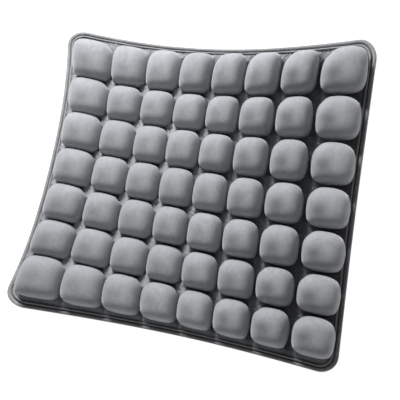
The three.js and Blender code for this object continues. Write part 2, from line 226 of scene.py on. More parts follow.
def section_table(samples=400):
    """A cell's section from the middle of its crown to its foot, at even steps along the skin: the
    crown's angle, from upright to level with the bulge, and then the share of the way down."""
    angle = np.linspace(math.pi / 2, 0, samples)
    below = np.linspace(0, 1, samples // 2)[1:]
    radius = np.concatenate([np.cos(angle) ** (2 / PUFF_BACK), 1 - below**2 * FOOT_SHRINK])
    crown = np.sin(angle) ** (2 / PUFF_UP) * (TOP_HEIGHT - BULGE_HEIGHT)
    z = np.concatenate([crown, -below * (BULGE_HEIGHT - FOOT_HEIGHT)])
    length = np.concatenate([[0], np.cumsum(np.hypot(np.diff(radius * PITCH * 0.45), np.diff(z)))])
    angle = np.concatenate([angle, np.zeros(len(below))])
    below = np.concatenate([np.zeros(samples), below])
    return length / length[-1], angle, below


SECTION = section_table()
CELL_SIZE = 1 + rng.uniform(-0.012, 0.012, (ROWS, COLUMNS))
CELL_HEIGHT = rng.uniform(-0.6, 0.6, (ROWS, COLUMNS))
CELL_LEAN = rng.uniform(-0.012, 0.012, (ROWS, COLUMNS, 2))
CELL_TURN = rng.uniform(-0.02, 0.02, (ROWS, COLUMNS))
NODE_PHASE = rng.uniform(0, 2 * math.pi, (ROWS + 1, COLUMNS + 1))
NODE_RISE = rng.uniform(0.85, 1.15, (ROWS + 1, COLUMNS + 1))


def nearest_node(x, y):
    """The grid corner nearest to a point, and how far to its right and behind it the point lies."""
    column = np.clip(np.round((x - GRID_LEFT) / PITCH), 0, COLUMNS).astype(int)
    row = np.clip(np.round((GRID_BACK - y) / PITCH), 0, ROWS).astype(int)
    return column, row, x - (GRID_LEFT + column * PITCH), y - (GRID_BACK - row * PITCH)


def web_rise(column, row):
    """How high the cloth bridges at a grid corner, over the groove's floor."""
    across = GRID_LEFT + column * PITCH
    loose = 1 - 0.88 * smoothstep(across, -80, 170)
    edge = (column == 0) | (column == COLUMNS)
    rise = (WEB_HEIGHT - FLOOR_HEIGHT) * loose * NODE_RISE[row, column]
    return rise * np.where((row == 0) | (row == ROWS), 0.14, np.where(edge, 0.3, 1))


def floor_height(x, y):
    """Height of the groove's floor: low along the cells' sides, raised in a web at each node."""
    column, row, dx, dy = nearest_node(x, y)
    reach_y = np.where(dy < 0, 18.0, 10.0)
    near = 1 / (1 + ((dx / 11.5) ** 2 + (dy / reach_y) ** 2) ** 2)
    return FLOOR_HEIGHT + web_rise(column, row) * near


def pleats(x, y):
    """Fine folds that fan out from each node."""
    column, row, dx, dy = nearest_node(x, y)
    distance = np.hypot(dx, dy)
    angle = np.arctan2(dy, dx)
    phase = NODE_PHASE[row, column]
    fan = np.cos(12 * angle + phase) + 0.6 * np.cos(19 * angle - phase)
    return fan * np.exp(-(((distance - 7) / 5) ** 2)) * smoothstep(distance, 1, 5)


def corner_pull(ring_a, ring_b, across):
    """The share by which the webs draw a cell's four corners in, most at its back left one."""
    pulls = ((-1, 1, 0.1 + 0.05 * across), (1, 1, 0.06 - 0.02 * across), (-1, -1, 0.03), (1, -1, 0.03))
    total = 0
    for side, end, pull in pulls:
        total = total + pull * np.maximum((ring_a * side + ring_b * end) / (2 * FOOT_SHARE), 0) ** 6
    return total


def cell_drift(x, y):
    """How far the puffed cells have been pushed about between the rim's sides, which stay put."""
    u, v = x / HALF_X, y / HALF_Y
    held = np.clip(1 - u**8, 0, 1) * np.clip(1 - v**8, 0, 1)
    shifts = []
    for push in (PUSH_RIGHT, PUSH_BACK):
        square = push["diagonal"] * u * v + push["sides"] * u * u + push["ends"] * v * v
        shifts.append(held * (push["middle"] + push["lean"] * u + square))
    return shifts


def cell_ring(a, b, share, centre_x):
    """The direction of each point from its cell's centre, drawn out to the cell's outline, which is
    rounder in the middle of the crown than at the foot."""
    norm = np.maximum(np.maximum(abs(a), abs(b)), 1e-9)
    front = SQUARE_FRONT * np.maximum(-b / norm, 0)
    outline = PLAN_POWER + front - ROUND_RIGHT * smoothstep(centre_x, 60, 180)
    power = CROWN_POWER + (outline - CROWN_POWER) * smoothstep(share, 0.1, 0.6)
    ring = norm * ((abs(a) / norm) ** power + (abs(b) / norm) ** power) ** (1 / power)
    return a / np.maximum(ring, 1e-9), b / np.maximum(ring, 1e-9)


def skin_section(share, ring_a, ring_b):
    """The shares of a cell's half width and of its crown's height that a point of the skin lies at,
    and its share of the way down from the bulge to the foot."""
    angle = np.interp(share, SECTION[0], SECTION[1])
    below = np.interp(share, SECTION[0], SECTION[2])
    puff = PUFF_BACK + PUFF_FRONT * np.maximum(-ring_b, 0) + PUFF_RIGHT * np.maximum(ring_a, 0)
    across = np.cos(angle) ** (2 / puff) * (1 - below**2 * FOOT_SHRINK)
    return across, np.sin(angle) ** (2 / PUFF_UP), below


def skin_offset(column, row, ring_a, ring_b, across, half):
    """How far each point of a cell's skin lies from the centre of its square."""
    centre_x, _ = cell_centre(column, row)
    u = centre_x / HALF_X
    turn = CELL_TURN[row, column]
    kept = 1 - corner_pull(ring_a, ring_b, u)
    off_x = half * across * (ring_a - turn * ring_b) * kept
    off_y = half * across * (ring_b + turn * ring_a) * kept
    reach = BACK_ROW_REACH * (1 - 0.5 * u * u + 0.15 * u)
    off_y += reach * (row == 0) * across * np.maximum(ring_b, 0)
    off_y += FRONT_ROW_REACH * (row == ROWS - 1) * across * np.minimum(ring_b, 0)
    off_x += RIGHT_COLUMN_REACH * (column == COLUMNS - 1) * across * np.maximum(ring_a, 0)
    off_x += RIGHT_SHIFT * smoothstep(centre_x, 90, 180)
    return off_x, off_y


def skin_height(column, row, off_x, off_y, up, below, skin):
    """Height of a cell's puffed skin, leaning a little, with a shallow dimple in its crown."""
    top = TOP_HEIGHT + CELL_HEIGHT[row, column] - skin
    dimple = DIMPLE_DEPTH * np.exp(-(((off_x + 3) / 10) ** 2) - ((off_y + 8) / 8) ** 2)
    lean = CELL_LEAN[row, column, 0] * off_x + CELL_LEAN[row, column, 1] * off_y
    crown = up * (top - BULGE_HEIGHT + lean) - dimple * (below == 0)
    return BULGE_HEIGHT + crown - below * (BULGE_HEIGHT - FOOT_HEIGHT)


def joined_height(puffed, x, y, floor, share, outward, skin):
    """Runs the puffed skin into the groove's floor beyond its foot, and keeps the floor below the
    hem where it meets it."""
    rise = floor + (FOOT_HEIGHT - FLOOR_HEIGHT)
    walls = puffed + np.maximum(rise - puffed, 0) * smoothstep(share, 0.72, 1.0)
    drop = smoothstep(outward, 0, 0.7)
    height = np.where(outward > 0, rise * (1 - drop) + floor * drop, walls)
    at_hem = inside_rim(x, y)
    height -= HEM_DIP * (1 - smoothstep(at_hem, 5, 11)) * (outward > 0)
    folds = pleats(x, y) * PLEAT_HEIGHT * smoothstep(share, 0.85, 1.0) * smoothstep(at_hem, 6, 12)
    height += folds * (skin == 0)
    most = FLOOR_HEIGHT - HEM_DIP + 16 * smoothstep(at_hem, 5, 16)
    return np.where(outward > 0, np.minimum(height, most), height)


def groove_shade_share(row, y, centre_y, half, height, at_hem, webbed, outward):
    """How much a point lies down in a groove or beside the hem, where the velour takes painted shade."""
    before_front = (row == ROWS - 1) & (y < centre_y - half)
    behind_back = (row == 0) & (y > centre_y + half)
    flange = (outward > 0) & (before_front | behind_back)
    low = 1 - smoothstep(height, 9, 27)
    groove_shade = low * (1 - np.clip(webbed * 3, 0, 1)) * np.where(flange, 0.55, 1)
    return np.maximum(groove_shade, (1 - smoothstep(at_hem, 8.5, 11)) * (outward > 0))


def crown_shade_share(off_x, off_y, centre_x, share):
    """Painted shade: the dark patch on each crown, stronger towards the right."""
    crown_shade = np.exp(-(((off_x + 5) / 12) ** 2) - ((off_y + 7) / 10) ** 2) * (share < 1)
    return crown_shade * (0.45 + 0.55 * smoothstep(centre_x, 0, 150))


def cell_sheet(steps, columns, rows, skin):
    """The puffed sheet over a block of cells. skin is how far it lies inside the velour's face.
    Gives x, y, height, the shares of painted shade and painted highlight that colour the velour, and the
    place along the skin, from 0 in the middle of the crown to 1 at the foot and beyond it."""
    column, a = grid_lines(steps, *columns)
    row, b = grid_lines(steps, *rows)
    column, row = np.meshgrid(column, row)
    a, b = np.meshgrid(a, -b)
    q = np.maximum(abs(a), abs(b))
    share = np.minimum(q / FOOT_SHARE, 1)
    outward = np.clip((q - FOOT_SHARE) / (1 - FOOT_SHARE), 0, 1)
    centre_x, centre_y = cell_centre(column, row)
    fill = CELL_FILL - FILL_FALL * centre_x / HALF_X
    half = PITCH / 2 * fill * CELL_SIZE[row, column] - skin
    ring_a, ring_b = cell_ring(a, b, share, centre_x)
    across, up, below = skin_section(share, ring_a, ring_b)
    off_x, off_y = skin_offset(column, row, ring_a, ring_b, across, half)
    puffed = skin_height(column, row, off_x, off_y, up, below, skin)
    edge_x, edge_y = square_edge(column, row, a, b, SHEET_TUCK + skin)
    x = (centre_x + off_x) * (1 - outward) + edge_x * outward
    y = (centre_y + off_y) * (1 - outward) + edge_y * outward
    floor = floor_height(x, y) - skin
    height = joined_height(puffed, x, y, floor, share, outward, skin)
    # webbed is the share of a node's raised web; clipped, it also gives the velour's painted highlight.
    webbed = (floor - FLOOR_HEIGHT) / (WEB_HEIGHT - FLOOR_HEIGHT) * smoothstep(share, 0.9, 1.0)
    # Shares of the velour's painted shade: in the grooves and beside the hem, and on each crown.
    groove_shade = groove_shade_share(row, y, centre_y, half, height, inside_rim(x, y), webbed, outward)
    crown_shade = crown_shade_share(off_x, off_y, centre_x, share)
    push_x, push_y = cell_drift(x, y)
    return x + push_x, y + push_y, height, groove_shade, crown_shade, np.clip(webbed, 0, 1), share


def simulate_inflation(points, faces, held):
    """Blows the cloth up with the cloth solver for SIM_FRAMES frames, with its grooves and rim
    held, and returns how far each point has moved, in millimetres."""
    mesh = bpy.data.meshes.new("inflating")
    mesh.from_pydata((points * MM).tolist(), [], faces.tolist())
    blown = bpy.data.objects.new("inflating", mesh)
    bpy.context.scene.collection.objects.link(blown)
    group = blown.vertex_groups.new(name="held")
    group.add([int(i) for i in np.flatnonzero(held >= 1)], 1.0, "REPLACE")
    cloth = blown.modifiers.new("cloth", "CLOTH")
    settings = cloth.settings
    settings.quality = 5
    settings.mass = 0.25
    settings.tension_stiffness = 25
    settings.compression_stiffness = 12
    settings.shear_stiffness = 6
    settings.bending_stiffness = 0.6
    settings.shrink_min = -SIM_SLACK
    settings.use_pressure = True
    settings.uniform_pressure_force = SIM_PRESSURE
    settings.effector_weights.gravity = 0
    settings.vertex_group_mass = group.name
    cloth.point_cache.frame_start = 1
    cloth.point_cache.frame_end = SIM_FRAMES
    scene = bpy.context.scene
    for frame_number in range(1, SIM_FRAMES + 1):
        scene.frame_set(frame_number)
    after = blown.evaluated_get(bpy.context.evaluated_depsgraph_get()).to_mesh()
    co = np.zeros(len(points) * 3)
    after.vertices.foreach_get("co", co)
    scene.frame_set(1)
    bpy.data.objects.remove(blown)
    moved = co.reshape(-1, 3) / MM - points
    far = np.linalg.norm(moved, axis=1, keepdims=True)
    return moved * np.minimum(1, SIM_CAP / np.maximum(far, 1e-9))


def resample(field, rows, columns):
    """A grid of values, spread evenly over a finer grid."""
    fine_rows = np.linspace(0, field.shape[0] - 1, rows)
    fine_columns = np.linspace(0, field.shape[1] - 1, columns)
    low_row = np.minimum(fine_rows.astype(int), field.shape[0] - 2)
    low_column = np.minimum(fine_columns.astype(int), field.shape[1] - 2)
    down = (fine_rows - low_row)[:, None, None]
    along = (fine_columns - low_column)[None, :, None]
    left = field[low_row][:, low_column] * (1 - down) + field[low_row + 1][:, low_column] * down
    right = field[low_row][:, low_column + 1] * (1 - down) + field[low_row + 1][:, low_column + 1] * down
    return left * (1 - along) + right * along


def inflation(rows, columns):
    """How far the inflated cloth moves from its formed shape, on the cover's grid."""
    x, y, z, *_, share = cell_sheet(SIM_STEPS, (0, COLUMNS), (0, ROWS), 0.0)
    points = np.stack([x, y, z], -1)
    moved = simulate_inflation(points.reshape(-1, 3), grid_faces(*x.shape), share.reshape(-1))
    return resample(moved.reshape(*x.shape, 3), rows, columns)


def add_cover():
    x, y, z, groove_shade, crown_shade, web_highlight, _ = cell_sheet(COVER_STEPS, (0, COLUMNS), (0, ROWS), 0.0)
    moved = inflation(*x.shape)
    x, y, z = x + moved[..., 0], y + moved[..., 1], z + moved[..., 2]
    points = settle(x, y, z).reshape(-1, 3)
    piece = new_piece("velour_cover", points, grid_faces(*x.shape), "cushion")
    # The velour's painted shade (grooves, hem side, crowns) and painted highlight (webs), carried as point
    # attributes.
    for name, values in (("groove_shade", groove_shade), ("crown_shade", crown_shade), ("web_highlight", web_highlight)):
        layer = piece.data.attributes.new(name, "FLOAT", "POINT")
        layer.data.foreach_set("value", values.reshape(-1))
    apply_modifier(piece, "SOLIDIFY", thickness=COVER_THICKNESS * MM, offset=-1)
    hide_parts("top_cover")
    return piece


def add_air_cells():
    pieces = []
    for row in range(ROWS):
        last = VALVE_COLUMN if row == VALVE_ROW else COLUMNS
        blocks = [(f"air_cells_{row + 1}", (0, last), f"air_cell_row_{row + 1}")]
        if row == VALVE_ROW:
            blocks.append(("air_cell_over_valve", (VALVE_COLUMN, COLUMNS), "valve_air_cell"))
        for name, columns, node in blocks:
            x, y, z, *_ = cell_sheet(FILM_STEPS, columns, (row, row + 1), FILM_INSET)
            points = settle(x, y, z).reshape(-1, 3)
            piece = new_piece(name, points, grid_faces(*x.shape), "cushion")
            apply_modifier(piece, "SOLIDIFY", thickness=FILM_THICKNESS * MM, offset=-1)
            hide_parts(node)
            pieces.append(piece)
    return pieces


def add_bottom_cover():
    """The flat sheet under the cells, its grid gathered round the valve's hole."""
    column, a = grid_lines(BASE_STEPS, 0, COLUMNS)
    row, b = grid_lines(BASE_STEPS, 0, ROWS)
    column, row = np.meshgrid(column, row)
    a, b = np.meshgrid(a, -b)
    q = np.maximum(abs(a), abs(b))
    edge_x, edge_y = square_edge(column, row, a, b, SHEET_TUCK)
    centre_x, centre_y = cell_centre(column, row)
    x = centre_x + (edge_x - centre_x) * q
    y = centre_y + (edge_y - centre_y) * q
    at_valve = (column == VALVE_COLUMN) & (row == VALVE_ROW) & (q < 1)
    hole_share = 0.5
    outward = np.clip((q - hole_share) / (1 - hole_share), 0, 1)
    reach = np.maximum(np.hypot(a, b), 1e-9)
    ring_x = centre_x + VALVE_HOLE * a / reach
    ring_y = centre_y + VALVE_HOLE * b / reach
    x = np.where(at_valve, ring_x * (1 - outward) + edge_x * outward, x)
    y = np.where(at_valve, ring_y * (1 - outward) + edge_y * outward, y)
    z = np.full(x.shape, BASE_HEIGHT)
    in_hole = at_valve & (q < hole_share - 1e-6)
    touched = in_hole[:-1, :-1] | in_hole[1:, :-1] | in_hole[1:, 1:] | in_hole[:-1, 1:]
    faces = grid_faces(*x.shape, keep=~touched)
    points = settle(x, y, z).reshape(-1, 3)
    used = np.unique(faces)
    renumber = np.zeros(len(points), int)
    renumber[used] = np.arange(len(used))
    piece = new_piece("non_slip_base", points[used], renumber[faces][:, ::-1], "cushion")
    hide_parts("bottom_cover")
    apply_modifier(piece, "SOLIDIFY", thickness=BASE_THICKNESS * MM, offset=-1)
    return piece


def dot_places():
    """Centres of the grip dots, in staggered rows, clear of the hem and the valve."""
    valve_x, valve_y = cell_centre(VALVE_COLUMN, VALVE_ROW)
    places = []
    rows = np.arange(RIM_FRONT + DOT_MARGIN, RIM_BACK - DOT_MARGIN, DOT_PITCH * 0.866)
    for index, y in enumerate(rows):
        first_x = RIM_LEFT + DOT_MARGIN + (index % 2) * DOT_PITCH / 2
        for x in np.arange(first_x, RIM_RIGHT - DOT_MARGIN, DOT_PITCH):
            off_valve = math.hypot(x - valve_x, y - valve_y) >= VALVE_HOLE + DOT_VALVE_MARGIN
            if off_valve and inside_rim(x, y) >= DOT_CORNER_MARGIN:
                places.append((x, y))
    return places


def add_grip_dots():
    """Small domes printed on the base cloth."""
    turn = np.linspace(0, 2 * math.pi, DOT_SIDES, endpoint=False)
    rings = [
        (DOT_RADIUS, 0.0),
        (DOT_RADIUS * 0.8, 0.6 * DOT_HEIGHT),
        (DOT_RADIUS * 0.4, 0.95 * DOT_HEIGHT),
    ]
    points, faces = [], []
    for x, y in dot_places():
        first = len(points)
        top = first + (len(rings) - 1) * DOT_SIDES
        for radius, depth in rings:
            z = BASE_HEIGHT - depth
            points += [(x + radius * math.cos(t), y + radius * math.sin(t), z) for t in turn]
        for low in range(first, top, DOT_SIDES):
            for k in range(DOT_SIDES):
                after = (k + 1) % DOT_SIDES
                faces.append((low + after, low + k, low + DOT_SIDES + k, low + DOT_SIDES + after))
        faces.append(tuple(top + k for k in reversed(range(DOT_SIDES))))
        faces.append(tuple(first + k for k in range(DOT_SIDES)))
    points = np.array(points)
    settled = settle(points[:, 0], points[:, 1], points[:, 2])
    return new_piece("grip_dots", settled, faces, "cushion")


# ---------------------------------------------------------------- rim
def rim_outline(inset):
    """Flat points round the rim at an inset, counter-clockwise from the front right corner. The
    number of points doesn't depend on the inset."""
    radius = CORNER_RADIUS - inset
    right, left = RIM_RIGHT - CORNER_RADIUS, RIM_LEFT + CORNER_RADIUS
    back, front = RIM_BACK - CORNER_RADIUS, RIM_FRONT + CORNER_RADIUS
    centres = np.array([[right, front], [right, back], [left, back], [left, front]], float)
    points = []
    for corner, centre in enumerate(centres):
        turn = np.radians(90 * (corner - 1) + np.linspace(0, 90, 17))
        arc = centre + radius * np.stack([np.cos(turn), np.sin(turn)], -1)
        travel = centres[(corner + 1) % 4] - centre
        count = int(np.linalg.norm(travel) / RIM_SPACING)
        straight = arc[-1] + travel * (np.arange(1, count) / count)[:, None]
        points += [arc, straight]
    return np.concatenate(points)


def sweep_rim(name, section, ripple):
    """Sweeps a closed section of (inset, height) round the rim. Its upper side ripples a little,
    as a bound edge does between stitches."""
    base = rim_outline(0)
    length = np.concatenate([[0], np.cumsum(np.linalg.norm(np.diff(base, axis=0), axis=1))])
    stitches = np.cos(2 * math.pi * length / RIPPLE_LENGTH)
    wave = ripple * (stitches + 0.6 * np.cos(2 * math.pi * length / SLOW_RIPPLE_LENGTH))
    middle = sum(z for _, z in section) / len(section)
    rings = []
    for inset, z in section:
        flat = rim_outline(inset)
        rings.append(settle(flat[:, 0], flat[:, 1], z + wave * (1.0 if z > middle else 0.2)))
    points = np.stack(rings, 1)
    count, around = points.shape[:2]
    index = np.arange(count * around).reshape(count, around)
    ahead = np.roll(index, -1, 0)
    faces = np.stack([index, np.roll(index, -1, 1), np.roll(ahead, -1, 1), ahead], -1).reshape(-1, 4)
    return new_piece(name, points.reshape(-1, 3), faces, "cushion")


def oval_section(inset, width, low, high, sides):
    """A closed, slightly squared oval, as (inset, height) points."""
    power = 2.6
    turn = np.linspace(0, 2 * math.pi, sides, endpoint=False)
    across = np.sign(np.cos(turn)) * abs(np.cos(turn)) ** (2 / power)
    up = np.sign(np.sin(turn)) * abs(np.sin(turn)) ** (2 / power)
    middle = (low + high) / 2
    return [(inset - width / 2 * c, middle + (high - low) / 2 * s) for c, s in zip(across, up)]


def add_rim():
    hem_section = oval_section(HEM_WIDTH / 2, HEM_WIDTH, HEM_LOW, HEM_HIGH, 18)
    hem = sweep_rim("bound_hem", hem_section, ripple=0.12)
    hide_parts("edge_hem")
    welt_section = oval_section(WELT_INSET, WELT_WIDTH, WELT_LOW, WELT_HIGH, 12)
    welt = sweep_rim("welt_ridge", welt_section, ripple=0.06)
    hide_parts("edge_welt")
    return [hem, welt]


# ---------------------------------------------------------------- valve
def valve_axis():
    """Where the valve's axis stands, in settled millimetres."""
    x, y = cell_centre(VALVE_COLUMN, VALVE_ROW)
    place = settle(np.array(x), np.array(y), np.array(0.0))
    return float(place[0]), float(place[1])


VALVE_X, VALVE_Y = valve_axis()


def ring_points(radius, z, steps):
    turn = np.linspace(0, 2 * math.pi, steps, endpoint=False)
    return [(VALVE_X + radius * math.cos(t), VALVE_Y + radius * math.sin(t), z) for t in turn]


def lathe(name, profile, body, steps=72):
    """Turns a closed profile of (radius, height) about the valve's axis, with its edges eased."""
    points, rings, faces = [], [], []
    for radius, z in profile:
        first = len(points)
        if radius < 1e-6:
            points.append((VALVE_X, VALVE_Y, z))
            rings.append([first] * steps)
        else:
            points += ring_points(radius, z, steps)
            rings.append(list(range(first, first + steps)))
    for lower, upper in zip(rings, rings[1:] + rings[:1]):
        for k in range(steps):
            after = (k + 1) % steps
            corners = list(dict.fromkeys([lower[k], lower[after], upper[after], upper[k]]))
            if len(corners) > 2:
                faces.append(corners)
    piece = new_piece(name, points, faces, body)
    sharp = {"limit_method": "ANGLE", "angle_limit": math.radians(35)}
    apply_modifier(piece, "BEVEL", width=0.25 * MM, segments=2, **sharp)
    return piece


def block(name, low, high, body):
    """A box with rounded edges, its corners given from the valve's axis."""
    x0, y0, z0 = low
    x1, y1, z1 = high
    points = [(x, y, z) for z in (z0, z1) for y in (y0, y1) for x in (x0, x1)]
    points = [(VALVE_X + x, VALVE_Y + y, z) for x, y, z in points]
    faces = [(0, 2, 3, 1), (4, 5, 7, 6), (0, 1, 5, 4), (2, 6, 7, 3), (0, 4, 6, 2), (1, 3, 7, 5)]
    piece = new_piece(name, points, faces, body)
    apply_modifier(piece, "BEVEL", width=0.3 * MM, segments=3)
    return piece


def add_spring():
    """The plunger's return spring, built at one length; the real one shortens towards its upper end as the
    button goes in.
    """
    sides, steps = 8, SPRING_TURNS * 24
    rise = SPRING_HIGH - SPRING_LOW - 2 * SPRING_WIRE
    rings = []
    for step in range(steps + 1):
        turn = step / steps * SPRING_TURNS * 2 * math.pi
        middle = SPRING_LOW + SPRING_WIRE + rise * step / steps
        for side in range(sides):
            around = side / sides * 2 * math.pi
            radius = SPRING_RADIUS + SPRING_WIRE * math.cos(around)
            height = middle + SPRING_WIRE * math.sin(around)
            rings.append((VALVE_X + radius * math.cos(turn), VALVE_Y + radius * math.sin(turn), height))
    faces = [tuple(range(sides)), tuple(steps * sides + side for side in reversed(range(sides)))]
    for step in range(steps):
        for side in range(sides):
            after = (side + 1) % sides
            low, high = step * sides, (step + 1) * sides
            faces.append((low + side, high + side, high + after, low + after))
    spring = new_piece("return_spring", rings, faces, "cushion")
    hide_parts("valve_spring")
    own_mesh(spring)
    return spring


def add_valve_flange():
    """The ring of film welded round the valve."""
    section = [(14.1, 2.4), (18, 2.4), (18, 3.2), (14.1, 3.2)]
    flange = lathe("valve_weld_flange", section, "cushion")
    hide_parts("valve_flange")
    return flange


def add_valve_body():
    """A shallow cup that holds the cap, and the narrower tower above it that holds the plunger."""
    outside = [(12.5, 0.4), (13.8, 0.4), (13.8, 7.4), (9, 7.4), (9, 21.5)]
    inside = [(3.2, 21.5), (3.2, 20), (7.6, 20), (7.6, 6.4), (12.5, 6.4)]
    body = lathe("valve_housing", outside + inside, "cushion")
    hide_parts("valve_body")
    return body


def add_valve_seal():
    section = [(3.4, 21.8), (6, 21.8), (6, 22.8), (3.4, 22.8)]
    seal = lathe("seat_seal", section, "cushion")
    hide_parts("valve_seal")
    return seal


def add_plunger():
    """The disc that closes the valve from inside, and its stem."""
    section = [(0, 13.1), (2, 13.1), (2, 23), (6.4, 23), (6.4, 24.5), (0, 24.5)]
    plunger = lathe("plunger_disc", section, "valve_plunger")
    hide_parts("valve_plunger")
    return plunger


def add_button():
    section = [(0, 12), (4.6, 12), (4.6, 14), (2.3, 14), (2.3, 12.8), (0, 12.8)]
    button = lathe("push_button", section, "valve_plunger")
    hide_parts("plunger_button")
    return button


def add_cap():
    """The cap and the ear that its hinge bends at."""
    section = [(0, 4.9), (5.6, 4.9), (6.4, 4.2), (8.8, 4.2), (8.8, 6.1), (0, 6.1)]
    cap = lathe("flip_cap", section, "valve_cap")
    ear = block("cap_ear", (-10.5, -2.1, 4.25), (-8.2, 2.1, 5.35), "valve_cap")
    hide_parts("valve_cap")
    return [cap, ear]


def add_lug():
    lug = block("hinge_lug", (-12.1, -2.2, 4.4), (-10.9, 2.2, 6.1), "cushion")
    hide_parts("cap_hinge_lug")
    return lug


# ---------------------------------------------------------------- materials
class Shader:
    """A node material with a Principled surface and small helpers to wire it."""

    def __init__(self, name, **settings):
        self.material = bpy.data.materials.new(name)
        self.material.use_nodes = True
        self.tree = self.material.node_tree
        self.surface = self.tree.nodes["Principled BSDF"]
        for key, value in settings.items():
            self.surface.inputs[key].default_value = value
        self.place = self.node("ShaderNodeTexCoord").outputs["Object"]

    def node(self, kind, **settings):
        node = self.tree.nodes.new(kind)
        for key, value in settings.items():
            setattr(node, key, value)
        return node

    def link(self, output, socket):
        self.tree.links.new(output, socket)

    def noise(self, scale, detail=3.0, roughness=0.5, distortion=0.0, stretch=None):
        texture = self.node("ShaderNodeTexNoise")
        texture.inputs["Scale"].default_value = scale
        texture.inputs["Detail"].default_value = detail
        texture.inputs["Roughness"].default_value = roughness
        texture.inputs["Distortion"].default_value = distortion
        self.link(self.mapped(stretch), texture.inputs["Vector"])
        return texture.outputs["Fac"]

    def attribute(self, name):
        """A value that the mesh carries at each point."""
        return self.node("ShaderNodeAttribute", attribute_name=name).outputs["Fac"]

    def mapped(self, stretch):
        if stretch is None:
            return self.place
        mapping = self.node("ShaderNodeMapping")
        mapping.inputs["Scale"].default_value = stretch
        self.link(self.place, mapping.inputs["Vector"])
        return mapping.outputs["Vector"]

    def weave(self, scale, turn=0.0):
        """Over-and-under threads: the product of two crossed waves."""
        waves = []
        for angle in (turn, turn + math.pi / 2):
            mapping = self.node("ShaderNodeMapping")
            mapping.inputs["Rotation"].default_value = (0, 0, angle)
            self.link(self.place, mapping.inputs["Vector"])
            wave = self.node("ShaderNodeTexWave", wave_type="BANDS", bands_direction="X")
            wave.inputs["Scale"].default_value = scale
            wave.inputs["Distortion"].default_value = 0.6
            wave.inputs["Detail"].default_value = 1.0
            self.link(mapping.outputs["Vector"], wave.inputs["Vector"])
            waves.append(wave.outputs["Fac"])
        return self.math("MULTIPLY", *waves)

    def math(self, operation, a, b):
        node = self.node("ShaderNodeMath", operation=operation)
        for value, socket in zip((a, b), node.inputs):
            if isinstance(value, (int, float)):
                socket.default_value = value
            else:
                self.link(value, socket)
        return node.outputs["Value"]

    def ramp(self, value, low, high, low_colour, high_colour):
        ramp = self.node("ShaderNodeValToRGB")
        ramp.color_ramp.elements[0].position = low
        ramp.color_ramp.elements[1].position = high
        ramp.color_ramp.elements[0].color = (*low_colour, 1)
        ramp.color_ramp.elements[1].color = (*high_colour, 1)
        self.link(value, ramp.inputs["Fac"])
        return ramp.outputs["Color"]

    def spread(self, value, low, high):
        """Maps 0..1 to low..high."""
        node = self.node("ShaderNodeMapRange")
        node.inputs["To Min"].default_value = low
        node.inputs["To Max"].default_value = high
        self.link(value, node.inputs["Value"])
        return node.outputs["Result"]

    def multiply(self, colour_a, colour_b):
        node = self.node("ShaderNodeMix", data_type="RGBA", blend_type="MULTIPLY")
        node.inputs["Factor"].default_value = 1.0
        self.link(colour_a, node.inputs["A"])
        self.link(colour_b, node.inputs["B"])
        return node.outputs["Result"]

    def bump(self, *layers):
        """Each layer is (height output, depth in millimetres, strength)."""
        normal = None
        for height, depth, strength in layers:
            node = self.node("ShaderNodeBump")
            node.inputs["Distance"].default_value = depth * MM
            node.inputs["Strength"].default_value = strength
            self.link(height, node.inputs["Height"])
            if normal:
                self.link(normal, node.inputs["Normal"])
            normal = node.outputs["Normal"]
        self.link(normal, self.surface.inputs["Normal"])

    def colour(self, output):
        self.link(output, self.surface.inputs["Base Color"])

    def rough(self, output):
        self.link(output, self.surface.inputs["Roughness"])


def grey(value):
    """A grey that leans slightly to blue."""
    cool = 0.011
    return (value * (1 - 0.8 * cool), value * (1 - 0.2 * cool), value * (1 + cool))


def velour_material():
    """Brushed grey pile. Its colour carries painted shade in the grooves, beside the hem and in a patch on
    each crown, and a painted highlight on the webs, so part of the shading is in the material and not from
    the light."""
    shader = Shader("velour", **{"Specular IOR Level": 0.2, "Sheen Weight": 0.6, "Sheen Roughness": 0.45})
    shader.surface.inputs["Sheen Tint"].default_value = (0.9, 0.92, 0.95, 1)
    pile = shader.noise(1900, detail=4, roughness=0.65)
    brushed = shader.noise(90, detail=4, roughness=0.6, distortion=1.2, stretch=(1, 0.7, 1))
    broad = shader.noise(16, detail=2)
    base = shader.ramp(brushed, 0.3, 0.7, grey(0.43), grey(0.525))
    fibre = shader.ramp(pile, 0.3, 0.72, grey(0.78), grey(1.0))
    tone = shader.ramp(broad, 0.3, 0.7, grey(0.9), grey(1.0))
    # Painted shade in the grooves and beside the hem.
    painted_groove_shade = shader.ramp(shader.attribute("groove_shade"), 0.0, 1.0, (1, 1, 1), grey(0.4))
    # Painted shade: a dark patch on each crown.
    painted_crown_shade = shader.ramp(shader.attribute("crown_shade"), 0.0, 1.0, (1, 1, 1), grey(0.5))
    # Painted highlight: the webs are kept lighter than the rest of the velour.
    painted_web_highlight = shader.ramp(shader.attribute("web_highlight"), 0.0, 0.8, grey(0.86), (1, 1, 1))
    colour = base
    for layer in (fibre, tone, painted_groove_shade, painted_crown_shade, painted_web_highlight):
        colour = shader.multiply(colour, layer)
    shader.colour(colour)
    shader.rough(shader.spread(pile, 0.82, 0.98))
    shader.bump((pile, 0.25, 0.5), (brushed, 0.5, 0.35))
    return shader.material


def hem_material(name, dark, light):
    shader = Shader(name, **{"Specular IOR Level": 0.25, "Sheen Weight": 0.5, "Sheen Roughness": 0.4})
    rib = shader.weave(420, turn=0.6)
    fuzz = shader.noise(1500, detail=4)
    worn = shader.noise(60, detail=3)
    base = shader.ramp(worn, 0.3, 0.7, grey(dark), grey(light))
    thread = shader.ramp(rib, 0.1, 0.7, grey(0.7), grey(1.0))
    shader.colour(shader.multiply(base, thread))
    shader.rough(shader.spread(fuzz, 0.75, 0.95))
    shader.bump((rib, 0.25, 0.5), (fuzz, 0.2, 0.4))
    return shader.material


